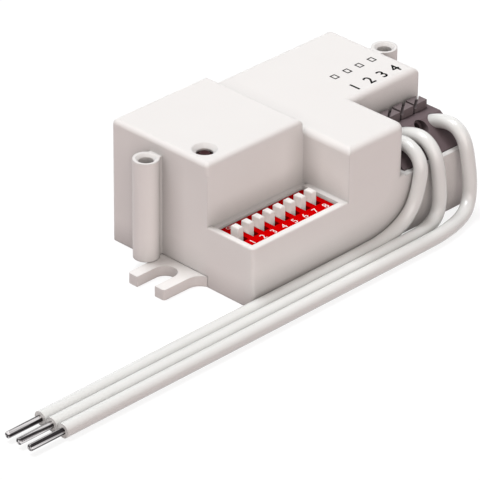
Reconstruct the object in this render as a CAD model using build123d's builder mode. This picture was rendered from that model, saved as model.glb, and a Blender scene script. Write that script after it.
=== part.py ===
from build123d import *
import math
import os

# A built-in microwave motion sensor: a small two-piece housing with screw bosses and fork feet, a bank of
# eight setting switches, a four-pole push-in terminal with three connected wires, and the boards inside.
# Sizes are in millimetres. The origin is the middle of the underside, +X runs along the length towards the
# terminal end, the switch bank faces -Y and +Z is up.

# Housing
body_length = 54.5
body_depth = 34.2
tall_rise = 1.9
main_height = 21.8
ledge_height = 11.7
shelf_height = 11.4
wall = 1.2
tall_length = 23.0
tall_setback = 10.9
ledge_length = 23.3
front_block_end = 37.6
notch_depth = 12.7
face_bottom = 15.55
corner_radius = 0.7
block_radius = 2.0
main_edge_radius = 1.2
tall_edge_radius = 0.9
rim_radius = 0.3

# Screw bosses on both ends
boss_diameter = 4.7
boss_bore = 2.6
boss_sink_diameter = 3.7
boss_offset = 2.45
boss_setback = 23.2
boss_top = 21.2
boss_web = 2.8

# Base plate with a fork foot at each end
base_thickness = 2.0
base_clearance = 0.1
foot_reach = 8.5
foot_width = 8.8
foot_root_width = 12.4
foot_slot = 4.3
foot_slot_gap = 1.8
foot_flare = 2.6
foot_corner = 0.5
foot_root = 1.0
snap_radius = 0.35
snap_length = 6.0
snap_height = 1.1
snap_play = 0.4
snap_shares = (0.25, 0.5, 0.75)
post_width = 3.4
stake_diameter = 1.9
stake_inset = 4.2
stake_front_row = 17.4

# Main board
board_thickness = 1.6
board_bottom = 3.6
board_clearance = 0.15
pin_hole = 1.0
pin_hole_sides = 8
stake_clearance = 0.1

# Switch bank, eight slide switches
switch_count = 8
switch_pitch = 2.54
switch_first = 2.35
bank_near_end = 1.2
bank_far_end = 1.87
bank_setback = 1.4
bank_depth = 8.25
bank_face = 11.0
bank_base_height = 2.0
bank_lid = 1.2
bank_clearance = 0.12
bank_corner = 0.3
bank_strip_drop = 0.3
slot_width = 1.4
slot_length = 3.05
slot_setback = 4.1
slider_width = 1.2
slider_length = 1.8
slider_rise = 2.0
slider_edge = 0.15
slider_clearance = 0.1
slider_foot_width = 1.7
slider_foot_length = 3.0
slider_foot_height = 2.4
bank_pin_row = 7.62
bank_pin = 0.5
bank_pin_thickness = 0.25
pin_tail = 1.3

# Terminal block, four poles
pole_count = 4
pole_pitch = 3.5
terminal_shift = 0.5
terminal_clearance = 0.1
terminal_margin = 1.4
cheek_width = 1.15
terminal_front = 1.25
terminal_toe = 11.5
terminal_brow = 7.2
terminal_rear = 15.2
trench_floor = 14.65
port_diameter = 2.7
port_setback = 6.3
port_height = 14.55
port_depth = 1.2
port_flare = 3.0
inner_port_diameter = 1.8
inner_port_depth = 4.9
chamber_width = 2.1
chamber_front = 7.6
chamber_back = 13.9
chamber_height = 12.2
core_front = 2.3
core_back = 6.6
core_height = 10.2
stem_hole_front = 10.8
stem_hole_back = 11.7
tongue_pocket_back = 12.4
tongue_pocket_top = 14.0
button_width = 3.0
button_front = 9.45
button_back = 11.7
button_top = 17.1
button_shoulder = 15.4
button_bottom = 13.1
button_clearance = 0.1
button_slot = 0.5
button_slot_depth = 0.8
contact_thickness = 0.3
contact_width = 1.8
contact_foot = 6.4
contact_rows = (8.6, 12.4)
contact_pin = 0.5
bar_start = 2.4
bar_end = 4.2
bar_pocket_start = 2.2
bar_pocket_end = 5.4
bar_pocket_up = 1.15
bar_pocket_down = 1.4
spring_thickness = 0.3
spring_width = 1.2
spring_shift = 0.3
spring_path = ((13.2, 5.45), (8.6, 5.45), (8.3, 9.0), (10.0, 11.6), (12.3, 11.9))
spring_bend = 0.5

# Wires
wire_diameter = 2.6
conductor_diameter = 1.25
bare_length = 7.2
inner_bare_length = 3.6
insulation_depth = 1.0
port_lean = 26.0
tip_chamfer = 0.15
bend_share = 0.45
wire_tail_end = -50.2
lane_near = -1.42
lane_middle = -4.06
lane_far = -6.70

# Radar board and daylight sensor
radar_inset = 0.5
radar_bottom = 17.8
radar_thickness = 1.0
shield_width = 12.0
shield_height = 2.6
shield_middle = 12.4
shield_front = 17.6
shield_gap = 0.25
patch_width = 6.2
patch_gap = 1.4
patch_middle = 12.6
patch_front = 15.1
patch_header_gap = 2.0
patch_thickness = 0.2
spacer_diameter = 3.6
spacer_sides = 8
spacer_places_from_corner = ((3.6, 14.6), (18.7, 15.2))
header_pins = 5
header_gap = 2.1
header_middle_inset = 12.2
header_tail = 1.3
header_top_tail = 0.7
header_spacing = 2.54
header_pin = 0.64
header_collar = 2.5
lens_bore = 3.0
lens_sink = 4.5
lens_setback = 15.3
lens_inset = 3.7
lens_diameter = 2.8
lens_flange = 3.6
lens_flange_height = 1.0
lens_below_top = 0.7
lens_dome = 0.6
lens_overcut = 0.5
shield_edge = 0.5
shield_sheet = 0.25

# Parts on the main board, given from the left end, the front and the inside of the back wall
relay_middle = 33.7
relay_size = (18.4, 10.2, 14.6)
relay_gap = 1.2
relay_lift = 0.4
relay_edge = 0.5
relay_foot = 1.5
film_capacitor_middle = 48.1
film_capacitor_width = 5.0
film_capacitor_height = 11.0
film_capacitor_front = 18.6
film_capacitor_gap = 1.4
main_capacitor_gap = 0.9
main_capacitor_setback = 6.4
main_capacitor_diameter = 10.0
main_capacitor_height = 14.0
small_capacitor_place = (20.3, 22.3)
small_capacitor_diameter = 6.3
small_capacitor_height = 7.5
choke_middle = 26.0
choke_diameter = 3.4
choke_height = 6.0
choke_flange = 0.8
choke_winding_depth = 0.6
fuse_middle = 33.6
fuse_diameter = 3.4
fuse_height = 7.5
varistor_middle = 41.6
varistor_diameter = 7.0
varistor_lift = 0.8
varistor_lead = 0.6
varistor_lead_row = 5.0
can_edge = 0.3
can_rim = 0.9
chip_lift = 0.2
rectifier_place = (14.5, 22.3)
rectifier_size = (4.7, 3.9, 2.4)
rectifier_legs = 2
controller_place = (10.95, 15.4)
controller_size = (9.9, 3.9, 1.6)
controller_legs = 8
regulator_place = (8.0, 22.3)
regulator_size = (4.9, 3.9, 1.6)
regulator_legs = 4
lead_width = 0.4
lead_reach = 1.0
lead_pitch = 1.27

# Places worked out from the sizes above
left = -body_length / 2
right = body_length / 2
front = -body_depth / 2
back = body_depth / 2
inner_back = back - wall
tall_height = main_height + tall_rise
board_top = board_bottom + board_thickness
slider_places = [left + switch_first + i * switch_pitch for i in range(switch_count)]
bank_left = slider_places[0] - bank_near_end
bank_right = slider_places[-1] + bank_far_end
bank_front = front + bank_setback
bank_back = bank_front + bank_depth
bank_middle = bank_front + bank_depth / 2
bank_base_top = board_top + bank_base_height
notch_left = left + front_block_end
notch_back = front + notch_depth
terminal_middle = (notch_left + right) / 2 + terminal_shift
tall_right = left + tall_length
tall_front = front + tall_setback
terminal_half = terminal_margin + (pole_count - 1) / 2 * pole_pitch
terminal_top = face_bottom - terminal_clearance
pole_places = [terminal_middle + (i - (pole_count - 1) / 2) * pole_pitch for i in range(pole_count)]
boss_places = [(left - boss_offset, front + boss_setback), (right + boss_offset, front + boss_setback)]
relay_width, relay_depth, relay_height = relay_size
relay_back = inner_back - relay_gap
relay_front = relay_back - relay_depth
main_capacitor_x = left + ledge_length + wall + main_capacitor_gap + main_capacitor_diameter / 2
main_capacitor_y = front + main_capacitor_setback
row_middle = (main_capacitor_y + main_capacitor_diameter / 2 + relay_front) / 2


def block(x0, x1, y0, y1, z0, z1, mode=Mode.ADD):
    """Add or cut a box between two corners, for plain pockets and pads."""
    with Locations(((x0 + x1) / 2, (y0 + y1) / 2, (z0 + z1) / 2)):
        Box(x1 - x0, y1 - y0, z1 - z0, mode=mode)


def post(x, y, z0, z1, diameter, mode=Mode.ADD):
    """Add or cut an upright cylinder between two heights."""
    with Locations((x, y, (z0 + z1) / 2)):
        Cylinder(diameter / 2, z1 - z0, mode=mode)


def keep(name, label):
    """Label a finished piece and write it to its file."""
    name.part.label = label
    export_step(name.part, f"parts/{label}.step")


os.makedirs("parts", exist_ok=True)

foot_tip = left - foot_reach
foot_slot_end = left - foot_slot_gap
foot_half = foot_width / 2
root_half = foot_root_width / 2
neck = left - foot_flare
root_end = left + wall + base_clearance + foot_root
snap_places = [left + body_length * share for share in snap_shares]
stake_rows = (inner_back - stake_inset, front + stake_front_row)
stake_places = [(x, y) for x in (left + wall + stake_inset, right - wall - stake_inset) for y in stake_rows]

# Fork foot outline at the left end: a flared root, two prongs and the round-ended slot between them
with BuildSketch() as fork_foot:
    with BuildLine():
        Line((root_end, root_half), (left, root_half))
        TangentArc((neck, foot_half), (left, root_half), tangent=(1, 0))
        Line((neck, foot_half), (foot_tip, foot_half))
        Line((foot_tip, foot_half), (foot_tip, -foot_half))
        Line((foot_tip, -foot_half), (neck, -foot_half))
        TangentArc((neck, -foot_half), (left, -root_half), tangent=(1, 0))
        Line((left, -root_half), (root_end, -root_half))
        Line((root_end, -root_half), (root_end, root_half))
    make_face()
    fillet(fork_foot.vertices().filter_by(lambda v: abs(v.X - foot_tip) < 0.01), foot_corner)
    with Locations(((foot_tip + foot_slot_end - foot_slot / 2) / 2, 0)):
        Rectangle(foot_slot_end - foot_slot / 2 - foot_tip, foot_slot, mode=Mode.SUBTRACT)
    with Locations((foot_slot_end - foot_slot / 2, 0)):
        Circle(foot_slot / 2, mode=Mode.SUBTRACT)

# Housing shell: three storeys over one footprint, hollow from below
with BuildPart() as housing_shell:
    with BuildSketch() as footprint:
        Rectangle(body_length, body_depth)
        fillet(footprint.vertices(), corner_radius)
    extrude(amount=ledge_height)
    fillet(housing_shell.faces().sort_by(Axis.Z)[-1].edges(), rim_radius)
    block(notch_left, right + 1, front - 1, notch_back, shelf_height, ledge_height + 1, Mode.SUBTRACT)
    with BuildSketch(Plane.XY.offset(ledge_height - 1)) as storey:
        with BuildLine():
            Polyline(
                (left, back),
                (left, tall_front),
                (left + ledge_length, tall_front),
                (left + ledge_length, front),
                (notch_left, front),
                (notch_left, notch_back),
                (right, notch_back),
                (right, back),
                close=True,
            )
        make_face()
        fillet(storey.vertices().filter_by(lambda v: abs(v.Y - back) < 0.01), corner_radius)
        block_corner = [v for v in storey.vertices() if abs(v.Y - front) < 0.01 and v.X > notch_left - 0.01]
        fillet(block_corner, block_radius)
    extrude(amount=main_height - ledge_height + 1)
    fillet(housing_shell.faces().sort_by(Axis.Z)[-1].edges(), main_edge_radius)
    with BuildSketch(Plane.XY.offset(ledge_height - 1)) as tall_plan:
        with Locations((left + tall_length / 2, (tall_front + back) / 2)):
            Rectangle(tall_length, back - tall_front)
        fillet(tall_plan.vertices().filter_by(lambda v: v.X < left + 0.01), corner_radius)
    extrude(amount=tall_height - ledge_height + 1)
    fillet(housing_shell.faces().sort_by(Axis.Z)[-1].edges(), tall_edge_radius)
    # Cavity, one wall thickness inside each storey
    with BuildSketch():
        offset(footprint.sketch, -wall)
    extrude(amount=shelf_height - wall, mode=Mode.SUBTRACT)
    with BuildSketch():
        offset(storey.sketch.moved(Location((0, 0, 1 - ledge_height))), -wall, kind=Kind.INTERSECTION)
    extrude(amount=main_height - wall, mode=Mode.SUBTRACT)
    with BuildSketch():
        offset(tall_plan.sketch.moved(Location((0, 0, 1 - ledge_height))), -wall, kind=Kind.INTERSECTION)
    extrude(amount=tall_height - wall, mode=Mode.SUBTRACT)
    # Window for the switch bank, down to the main board
    window_left = bank_left - bank_clearance
    window_right = bank_right + bank_clearance
    window_front = bank_front - bank_clearance
    window_back = bank_back + bank_clearance
    block(window_left, window_right, window_front, window_back, board_top, ledge_height + 1, Mode.SUBTRACT)
    # Lower strip between the window and the tall block
    block(
        window_left, left + ledge_length, window_back, tall_front,
        ledge_height - bank_strip_drop, ledge_height + 1, Mode.SUBTRACT,
    )
    # Opening for the terminal block through the shelf, under the set-back face and out of the end
    opening_front = front + terminal_front - terminal_clearance
    opening_back = front + terminal_rear + terminal_clearance
    opening_half = terminal_half + terminal_clearance
    block(
        terminal_middle - opening_half, terminal_middle + opening_half,
        opening_front, opening_back, board_top, face_bottom, Mode.SUBTRACT,
    )
    # Screw bosses, each a bored tube joined to the end wall by a web
    for x, y in boss_places:
        end_face = left if x < 0 else right
        post(x, y, base_thickness + base_clearance, boss_top, boss_diameter)
        block(
            min(x, end_face), max(x, end_face),
            y - boss_web / 2, y + boss_web / 2, base_thickness + base_clearance, boss_top,
        )
    for x, y in boss_places:
        with Locations(Location((x, y, boss_top))):
            CounterSinkHole(boss_bore / 2, boss_sink_diameter / 2, counter_sink_angle=90)
    # Countersunk window for the daylight sensor
    with Locations(Location((left + lens_inset, front + lens_setback, tall_height))):
        CounterSinkHole(lens_bore / 2, lens_sink / 2, depth=wall + lens_overcut, counter_sink_angle=90)
    # Notches for the fork feet and grooves for the snap ribs
    foot_notch = root_half + base_clearance
    for end_face in (left, right):
        block(
            end_face - wall - 1, end_face + wall + 1, -foot_notch, foot_notch,
            -1, base_thickness + base_clearance, Mode.SUBTRACT,
        )
    for y in (front + wall, inner_back):
        for x in snap_places:
            with Locations(Location((x, y, snap_height), (0, 90, 0))):
                Cylinder(snap_radius + base_clearance / 2, snap_length + snap_play, mode=Mode.SUBTRACT)
keep(housing_shell, "housing_shell")

# Base plate: a tray floor with board posts, snap ribs and the two fork feet
with BuildPart() as base_plate:
    with BuildSketch():
        offset(footprint.sketch, -wall - base_clearance)
    extrude(amount=base_thickness)
    with BuildSketch():
        add(fork_foot.sketch)
        mirror(about=Plane.YZ)
    extrude(amount=base_thickness)
    for y in (front + wall + base_clearance, inner_back - base_clearance):
        for x in snap_places:
            with Locations(Location((x, y, snap_height), (0, 90, 0))):
                Cylinder(snap_radius, snap_length)
    for x, y in stake_places:
        block(
            x - post_width / 2, x + post_width / 2, y - post_width / 2, y + post_width / 2,
            base_thickness, board_bottom,
        )
        post(x, y, board_bottom, board_top - stake_clearance, stake_diameter)
keep(base_plate, "base_plate")

# Places of everything that stands on or passes through the main board
bank_pin_places = [(x, bank_middle + side * bank_pin_row / 2) for x in slider_places for side in (-1, 1)]
contact_shift = chamber_width / 2 - button_clearance / 2 - contact_thickness / 2
contact_pin_places = [(x - contact_shift, front + row) for x in pole_places for row in contact_rows]
radar_left = left + wall + radar_inset
radar_right = tall_right - wall - radar_inset
radar_front = tall_front + wall + radar_inset
radar_back = inner_back - radar_inset
header_x = left + header_middle_inset
header_y = inner_back - header_gap
header_start = header_x - (header_pins - 1) / 2 * header_spacing
header_places = [(header_start + i * header_spacing, header_y) for i in range(header_pins)]
spacer_places = [(left + x, front + y) for x, y in spacer_places_from_corner]

# Main board with the holes that its parts need
with BuildPart() as main_board:
    with BuildSketch(Plane.XY.offset(board_bottom)):
        inset = wall + board_clearance
        Rectangle(body_length - 2 * inset, body_depth - 2 * inset)
        with Locations(*stake_places):
            Circle(stake_diameter / 2 + stake_clearance, mode=Mode.SUBTRACT)
        with Locations(*bank_pin_places, *contact_pin_places, *header_places):
            RegularPolygon(pin_hole / 2, pin_hole_sides, mode=Mode.SUBTRACT)
    extrude(amount=board_thickness)
keep(main_board, "main_board")

# Switch bank: a dark base, a bright lid with eight slots and the solder pins
with BuildPart() as switch_base:
    block(bank_left, bank_right, bank_front, bank_back, board_top, bank_base_top)
    chamfer(switch_base.edges().filter_by(Axis.Z), bank_corner)
keep(switch_base, "switch_base")

slider_rest = front + slot_setback + slot_length - slider_clearance - slider_length / 2
slider_travel = slot_length - slider_length - 2 * slider_clearance
slot_middle = front + slot_setback + slot_length / 2
pocket_length = slider_foot_length + slider_travel + 2 * slider_clearance
pocket_middle = slider_rest - slider_travel / 2
with BuildPart() as switch_lid:
    block(bank_left, bank_right, bank_front, bank_back, bank_base_top, bank_face)
    chamfer(switch_lid.edges().filter_by(Axis.Z), bank_corner)
    for x in slider_places:
        half = slider_foot_width / 2 + slider_clearance
        block(
            x - half, x + half, pocket_middle - pocket_length / 2, pocket_middle + pocket_length / 2,
            bank_base_top, bank_face - bank_lid, Mode.SUBTRACT,
        )
    with BuildSketch(Plane.XY.offset(bank_face)):
        with Locations(*[(x, slot_middle) for x in slider_places]):
            Rectangle(slot_width, slot_length)
    extrude(amount=-bank_lid, mode=Mode.SUBTRACT)
keep(switch_lid, "switch_lid")

with BuildPart() as switch_pins:
    for x, y in bank_pin_places:
        block(
            x - bank_pin / 2, x + bank_pin / 2, y - bank_pin_thickness / 2, y + bank_pin_thickness / 2,
            board_bottom - pin_tail, board_top,
        )
keep(switch_pins, "switch_pins")

# Eight sliders, each a wide foot under the lid with a square peg through its slot
foot_top = bank_base_top + slider_clearance + slider_foot_height
for number, x in enumerate(slider_places, start=1):
    with BuildPart() as switch_slider:
        with BuildSketch(Plane.XY.offset(bank_base_top + slider_clearance)):
            with Locations((x, slider_rest)):
                Rectangle(slider_foot_width, slider_foot_length)
        extrude(amount=slider_foot_height)
        with BuildSketch(Plane.XY.offset(foot_top)):
            with Locations((x, slider_rest)):
                Rectangle(slider_width, slider_length)
        extrude(amount=bank_face + slider_rise - foot_top)
        peg_top = switch_slider.faces().sort_by(Axis.Z)[-1]
        chamfer(peg_top.edges(), slider_edge)
    keep(switch_slider, f"switch_slider_{number}")

# Terminal block body: a core with a port and a chamber for each pole, two cheeks, and a trench for the buttons
core_left = terminal_middle - terminal_half
core_right = terminal_middle + terminal_half
into_port = Vector(0, math.cos(math.radians(port_lean)), -math.sin(math.radians(port_lean)))
port_points = [Vector(x, front + port_setback, port_height) for x in pole_places]
trench_half = (pole_count - 1) / 2 * pole_pitch + button_width / 2 + button_clearance
with BuildPart() as terminal_body:
    with BuildSketch(Plane.YZ.offset(core_left)):
        with BuildLine():
            Polyline(
                (front + terminal_front, board_top),
                (front + terminal_front, terminal_toe),
                (front + terminal_brow, terminal_top),
                (front + terminal_rear, terminal_top),
                (front + terminal_rear, board_top),
                close=True,
            )
        make_face()
    extrude(amount=core_right - core_left)
    cheek_foot = shelf_height + terminal_clearance
    cheek_back = notch_back - terminal_clearance
    for start in (core_left - cheek_width, core_right):
        with BuildSketch(Plane.YZ.offset(start)):
            with BuildLine():
                Polyline(
                    (front + terminal_front, cheek_foot),
                    (front + terminal_brow, terminal_top),
                    (cheek_back, terminal_top),
                    (cheek_back, cheek_foot),
                    close=True,
                )
            make_face()
        extrude(amount=cheek_width)
    block(
        terminal_middle - trench_half, terminal_middle + trench_half,
        front + button_front - button_clearance, front + button_back + button_clearance,
        trench_floor, terminal_top + 1, Mode.SUBTRACT,
    )
    for point in port_points:
        with BuildSketch(Plane(origin=point - into_port * port_flare, x_dir=(1, 0, 0), z_dir=into_port)):
            Circle(port_diameter / 2)
        extrude(amount=port_flare + port_depth, mode=Mode.SUBTRACT)
        with BuildSketch(Plane(origin=point, x_dir=(1, 0, 0), z_dir=into_port)):
            Circle(inner_port_diameter / 2)
        extrude(amount=inner_port_depth, mode=Mode.SUBTRACT)
        with BuildSketch(Plane(origin=point + into_port * bar_pocket_start, x_dir=(1, 0, 0), z_dir=into_port)):
            with Locations((0, (bar_pocket_down - bar_pocket_up) / 2)):
                Rectangle(chamber_width, bar_pocket_down + bar_pocket_up)
        extrude(amount=bar_pocket_end - bar_pocket_start, mode=Mode.SUBTRACT)
    for x in pole_places:
        side = chamber_width / 2
        y_front = front + chamber_front
        block(x - side, x + side, y_front, front + chamber_back, board_top, chamber_height, Mode.SUBTRACT)
        block(
            x - side, x + side, front + core_front, front + core_back,
            board_top, core_height, Mode.SUBTRACT,
        )
        block(
            x - side, x + side, front + stem_hole_front, front + stem_hole_back,
            chamber_height, trench_floor, Mode.SUBTRACT,
        )
        block(
            x - side, x + side, front + stem_hole_back, front + tongue_pocket_back,
            chamber_height, tongue_pocket_top, Mode.SUBTRACT,
        )
keep(terminal_body, "terminal_body")

# Four release buttons, each a head with a slot from corner to corner, a stem and a tongue that keeps it in
slot_turn = math.degrees(math.atan2(button_back - button_front, button_width))
for number, x in enumerate(pole_places, start=1):
    with BuildPart() as terminal_button:
        half = button_width / 2
        stem_half = chamber_width / 2 - button_clearance
        stem_front = front + stem_hole_front + button_clearance
        stem_back = front + stem_hole_back - button_clearance
        block(
            x - half, x + half, front + button_front, front + button_back,
            button_shoulder, button_top,
        )
        with BuildSketch(Plane.XY.offset(button_top)):
            with Locations((x, front + (button_front + button_back) / 2)):
                Rectangle(button_width + button_back - button_front, button_slot, rotation=slot_turn)
        extrude(amount=-button_slot_depth, mode=Mode.SUBTRACT)
        block(x - stem_half, x + stem_half, stem_front, stem_back, button_bottom, button_shoulder)
        block(
            x - stem_half, x + stem_half, stem_back, front + tongue_pocket_back - button_clearance,
            button_bottom, tongue_pocket_top - button_clearance,
        )
    keep(terminal_button, f"terminal_button_{number}")

# Contact strips: a side plate with two solder pins and a bar folded over the conductor
upwards = Vector(0, math.sin(math.radians(port_lean)), math.cos(math.radians(port_lean)))
bar_gap = conductor_diameter / 2 + terminal_clearance / 2
plate_foot = board_top + button_clearance
plate_top = chamber_height - button_clearance
first_pin = front + contact_rows[0]
last_pin = front + contact_rows[1]
with BuildPart() as terminal_contacts:
    for point in port_points:
        near = point + into_port * bar_start + upwards * bar_gap
        far = point + into_port * bar_end + upwards * bar_gap
        plate_left = point.X - chamber_width / 2 + button_clearance / 2
        with BuildSketch(Plane.YZ.offset(plate_left)):
            with BuildLine():
                Polyline(
                    (first_pin - contact_pin / 2, board_bottom - pin_tail),
                    (first_pin + contact_pin / 2, board_bottom - pin_tail),
                    (first_pin + contact_pin / 2, plate_foot),
                    (last_pin - contact_pin / 2, plate_foot),
                    (last_pin - contact_pin / 2, board_bottom - pin_tail),
                    (last_pin + contact_pin / 2, board_bottom - pin_tail),
                    (last_pin + contact_pin / 2, contact_foot),
                    (front + stem_hole_front, plate_top),
                    (far.Y, far.Z),
                    (near.Y, near.Z),
                    (first_pin - contact_pin / 2, plate_top),
                    close=True,
                )
            make_face()
        extrude(amount=contact_thickness)
        with BuildSketch(Plane.YZ.offset(plate_left)):
            with BuildLine():
                fold = upwards * contact_thickness
                Polyline(
                    (near.Y, near.Z),
                    (far.Y, far.Z),
                    (far.Y + fold.Y, far.Z + fold.Z),
                    (near.Y + fold.Y, near.Z + fold.Z),
                    close=True,
                )
            make_face()
        extrude(amount=contact_width)
keep(terminal_contacts, "terminal_contacts")

# Leaf springs: each rests on the floor, turns up under the conductor and ends below the button stem
with BuildPart() as terminal_springs:
    for x in pole_places:
        with BuildSketch(Plane.YZ.offset(x + spring_shift - spring_width / 2)):
            with BuildLine():
                FilletPolyline(*[(front + y, z) for y, z in spring_path], radius=spring_bend)
            trace(line_width=spring_thickness)
        extrude(amount=spring_width)
keep(terminal_springs, "terminal_springs")


def bend_radii(points):
    """Return one bend radius for each inner point, as large as a fixed share of the shorter run allows."""
    radii = []
    for before, here, after in zip(points, points[1:], points[2:]):
        first = Vector(*here) - Vector(*before)
        second = Vector(*after) - Vector(*here)
        half_turn = math.radians(first.get_angle(second)) / 2
        radii.append(bend_share * min(first.length, second.length) / math.tan(half_turn))
    return radii


def wire_points(x, lane, corner_path):
    """Return the centre points of one wire, from its port to the end of its insulation."""
    start = Vector(x, front + port_setback, port_height) + into_port * insulation_depth
    turn = [(left + px, front + py, pz) for px, py, pz in corner_path]
    return [(start.X, start.Y, start.Z), *turn, (left + wire_tail_end, front + lane, wire_diameter / 2)]


# Points of each wire from its port down to the floor
near_turn = (
    (41.3, 4.0, 15.67), (40.5, -1.25, 13.8), (39.6, -1.42, 8.4), (37.5, -1.42, 4.4), (32.8, -1.42, 2.0),
    (25.5, -1.42, 1.3),
)
middle_turn = (
    (44.8, 3.6, 15.87), (44.45, -0.8, 13.9), (44.45, -2.1, 7.8), (44.1, -2.4, 2.9), (41.2, -3.1, 1.3),
    (34.5, -4.06, 1.3),
)
far_turn = (
    (51.8, 3.2, 16.06), (51.45, -1.3, 14.6), (51.45, -2.9, 7.5), (51.2, -3.2, 2.9), (48.2, -4.7, 1.3),
    (42.6, -6.2, 1.3), (35.5, -6.70, 1.3),
)
wire_paths = [
    wire_points(pole_places[0], lane_near, near_turn),
    wire_points(pole_places[1], lane_middle, middle_turn),
    wire_points(pole_places[3], lane_far, far_turn),
]
for number, points in enumerate(wire_paths, start=1):
    radii = bend_radii(points)
    with BuildPart() as wire:
        with BuildLine() as centre:
            FilletPolyline(*points, radius=radii)
        with BuildSketch(Plane(origin=points[0], z_dir=Vector(*points[1]) - Vector(*points[0]))):
            Circle(wire_diameter / 2)
        sweep()
    keep(wire, f"wire_{number}")
    run = sum(edge.length for edge in centre.edges())
    share = wire.part.volume / (math.pi * (wire_diameter / 2) ** 2 * run)
    print(f"wire_{number} bend radii", [round(r, 1) for r in radii], "volume share", round(share, 4))
    # Bare conductor at both ends of the wire
    with BuildPart() as conductor:
        start = Vector(*points[0])
        inwards = (start - Vector(*points[1])).normalized()
        with BuildSketch(Plane(origin=start, z_dir=inwards)):
            Circle(conductor_diameter / 2)
        extrude(amount=inner_bare_length)
        end = Vector(*points[-1])
        outwards = (end - Vector(*points[-2])).normalized()
        with BuildSketch(Plane(origin=end, z_dir=outwards)):
            Circle(conductor_diameter / 2)
        extrude(amount=bare_length)
        tip = conductor.faces().sort_by(Axis.X)[0]
        chamfer(tip.edges(), tip_chamfer)
    keep(conductor, f"conductor_{number}")

# Relay: a sealed case with broken edges, standing on two feet
with BuildPart() as relay:
    x = left + relay_middle
    case_left = x - relay_width / 2
    case_right = x + relay_width / 2
    block(case_left, case_right, relay_front, relay_back, board_top + relay_lift, board_top + relay_height)
    chamfer(relay.edges().filter_by(Axis.Z), relay_edge)
    chamfer(relay.faces().sort_by(Axis.Z)[-1].edges(), relay_edge)
    for foot in (case_left + relay_foot, case_right - relay_foot):
        block(foot - relay_edge, foot + relay_edge, relay_front, relay_back, board_top, board_top + relay_lift)
keep(relay, "relay")

# Film capacitor: a box case with a stepped foot
with BuildPart() as film_capacitor:
    case_left = left + film_capacitor_middle - film_capacitor_width / 2
    case_right = left + film_capacitor_middle + film_capacitor_width / 2
    case_front = front + film_capacitor_front
    case_back = inner_back - film_capacitor_gap
    block(case_left, case_right, case_front, case_back, board_top, board_top + film_capacitor_height)
    chamfer(film_capacitor.edges().filter_by(Axis.Z), relay_edge)
    block(
        case_left, case_right, case_front + relay_foot, case_back - relay_foot,
        board_top, board_top + relay_lift, Mode.SUBTRACT,
    )
keep(film_capacitor, "film_capacitor")


def can_profile(x, y, diameter, height):
    """Turn an electrolytic can with broken edges and a sunken top."""
    radius = diameter / 2
    with BuildPart() as can:
        with BuildSketch(Plane.XZ):
            with BuildLine():
                Polyline(
                    (0, 0),
                    (radius - can_edge, 0),
                    (radius, can_edge),
                    (radius, height - can_edge),
                    (radius - can_edge, height),
                    (radius - can_rim, height),
                    (radius - can_rim, height - can_edge),
                    (0, height - can_edge),
                    close=True,
                )
            make_face()
        revolve(axis=Axis.Z)
    return can.part.moved(Location((x, y, board_top)))


with BuildPart() as main_capacitor:
    add(can_profile(main_capacitor_x, main_capacitor_y, main_capacitor_diameter, main_capacitor_height))
keep(main_capacitor, "main_capacitor")

with BuildPart() as small_capacitor:
    add(can_profile(
        left + small_capacitor_place[0], front + small_capacitor_place[1],
        small_capacitor_diameter, small_capacitor_height,
    ))
keep(small_capacitor, "small_capacitor")

# Choke: a turned drum with a waist for its winding
choke_radius = choke_diameter / 2
waist_radius = choke_radius - choke_winding_depth
with BuildPart() as choke:
    with BuildSketch(Plane.XZ):
        with BuildLine():
            Polyline(
                (0, 0),
                (choke_radius, 0),
                (choke_radius, choke_flange),
                (waist_radius, choke_flange),
                (waist_radius, choke_height - choke_flange),
                (choke_radius, choke_height - choke_flange),
                (choke_radius, choke_height),
                (0, choke_height),
                close=True,
            )
        make_face()
    revolve(axis=Axis.Z)
choke.part.locate(Location((left + choke_middle, row_middle, board_top)))
keep(choke, "choke")

# Fuse: a round plastic case
with BuildPart() as fuse:
    post(left + fuse_middle, row_middle, board_top, board_top + fuse_height, fuse_diameter)
    chamfer(fuse.faces().sort_by(Axis.Z)[-1].edges(), relay_edge)
keep(fuse, "fuse")

# Varistor: a coated disc on edge with two leads
with BuildPart() as varistor:
    x = left + varistor_middle
    space = relay_front - front - terminal_rear
    y = relay_front - space / 2
    middle = board_top + varistor_lift + varistor_diameter / 2
    with Locations(Location((x, y, middle), (90, 0, 0))):
        Cylinder(varistor_diameter / 2, space / 2)
    chamfer(varistor.edges().filter_by(GeomType.CIRCLE), space / 8)
    for lead in (x - varistor_lead_row / 2, x + varistor_lead_row / 2):
        block(
            lead - varistor_lead / 2, lead + varistor_lead / 2, y - varistor_lead / 2, y + varistor_lead / 2,
            board_top, middle,
        )
keep(varistor, "varistor")


def chip_package(place, size, legs):
    """Return a low moulded package with a row of flat leads on its front and back sides."""
    x, y = left + place[0], front + place[1]
    width, depth, height = size
    with BuildPart() as chip:
        block(
            x - width / 2, x + width / 2, y - depth / 2, y + depth / 2,
            board_top + chip_lift, board_top + height,
        )
        chamfer(chip.faces().sort_by(Axis.Z)[-1].edges(), chip_lift)
        for i in range(legs):
            leg = x + (i - (legs - 1) / 2) * lead_pitch
            block(
                leg - lead_width / 2, leg + lead_width / 2,
                y - depth / 2 - lead_reach, y + depth / 2 + lead_reach,
                board_top, board_top + chip_lift,
            )
    return chip.part


with BuildPart() as controller:
    add(chip_package(controller_place, controller_size, controller_legs))
keep(controller, "controller")

with BuildPart() as regulator:
    add(chip_package(regulator_place, regulator_size, regulator_legs))
keep(regulator, "regulator")

with BuildPart() as rectifier:
    add(chip_package(rectifier_place, rectifier_size, rectifier_legs))
keep(rectifier, "rectifier")

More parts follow.
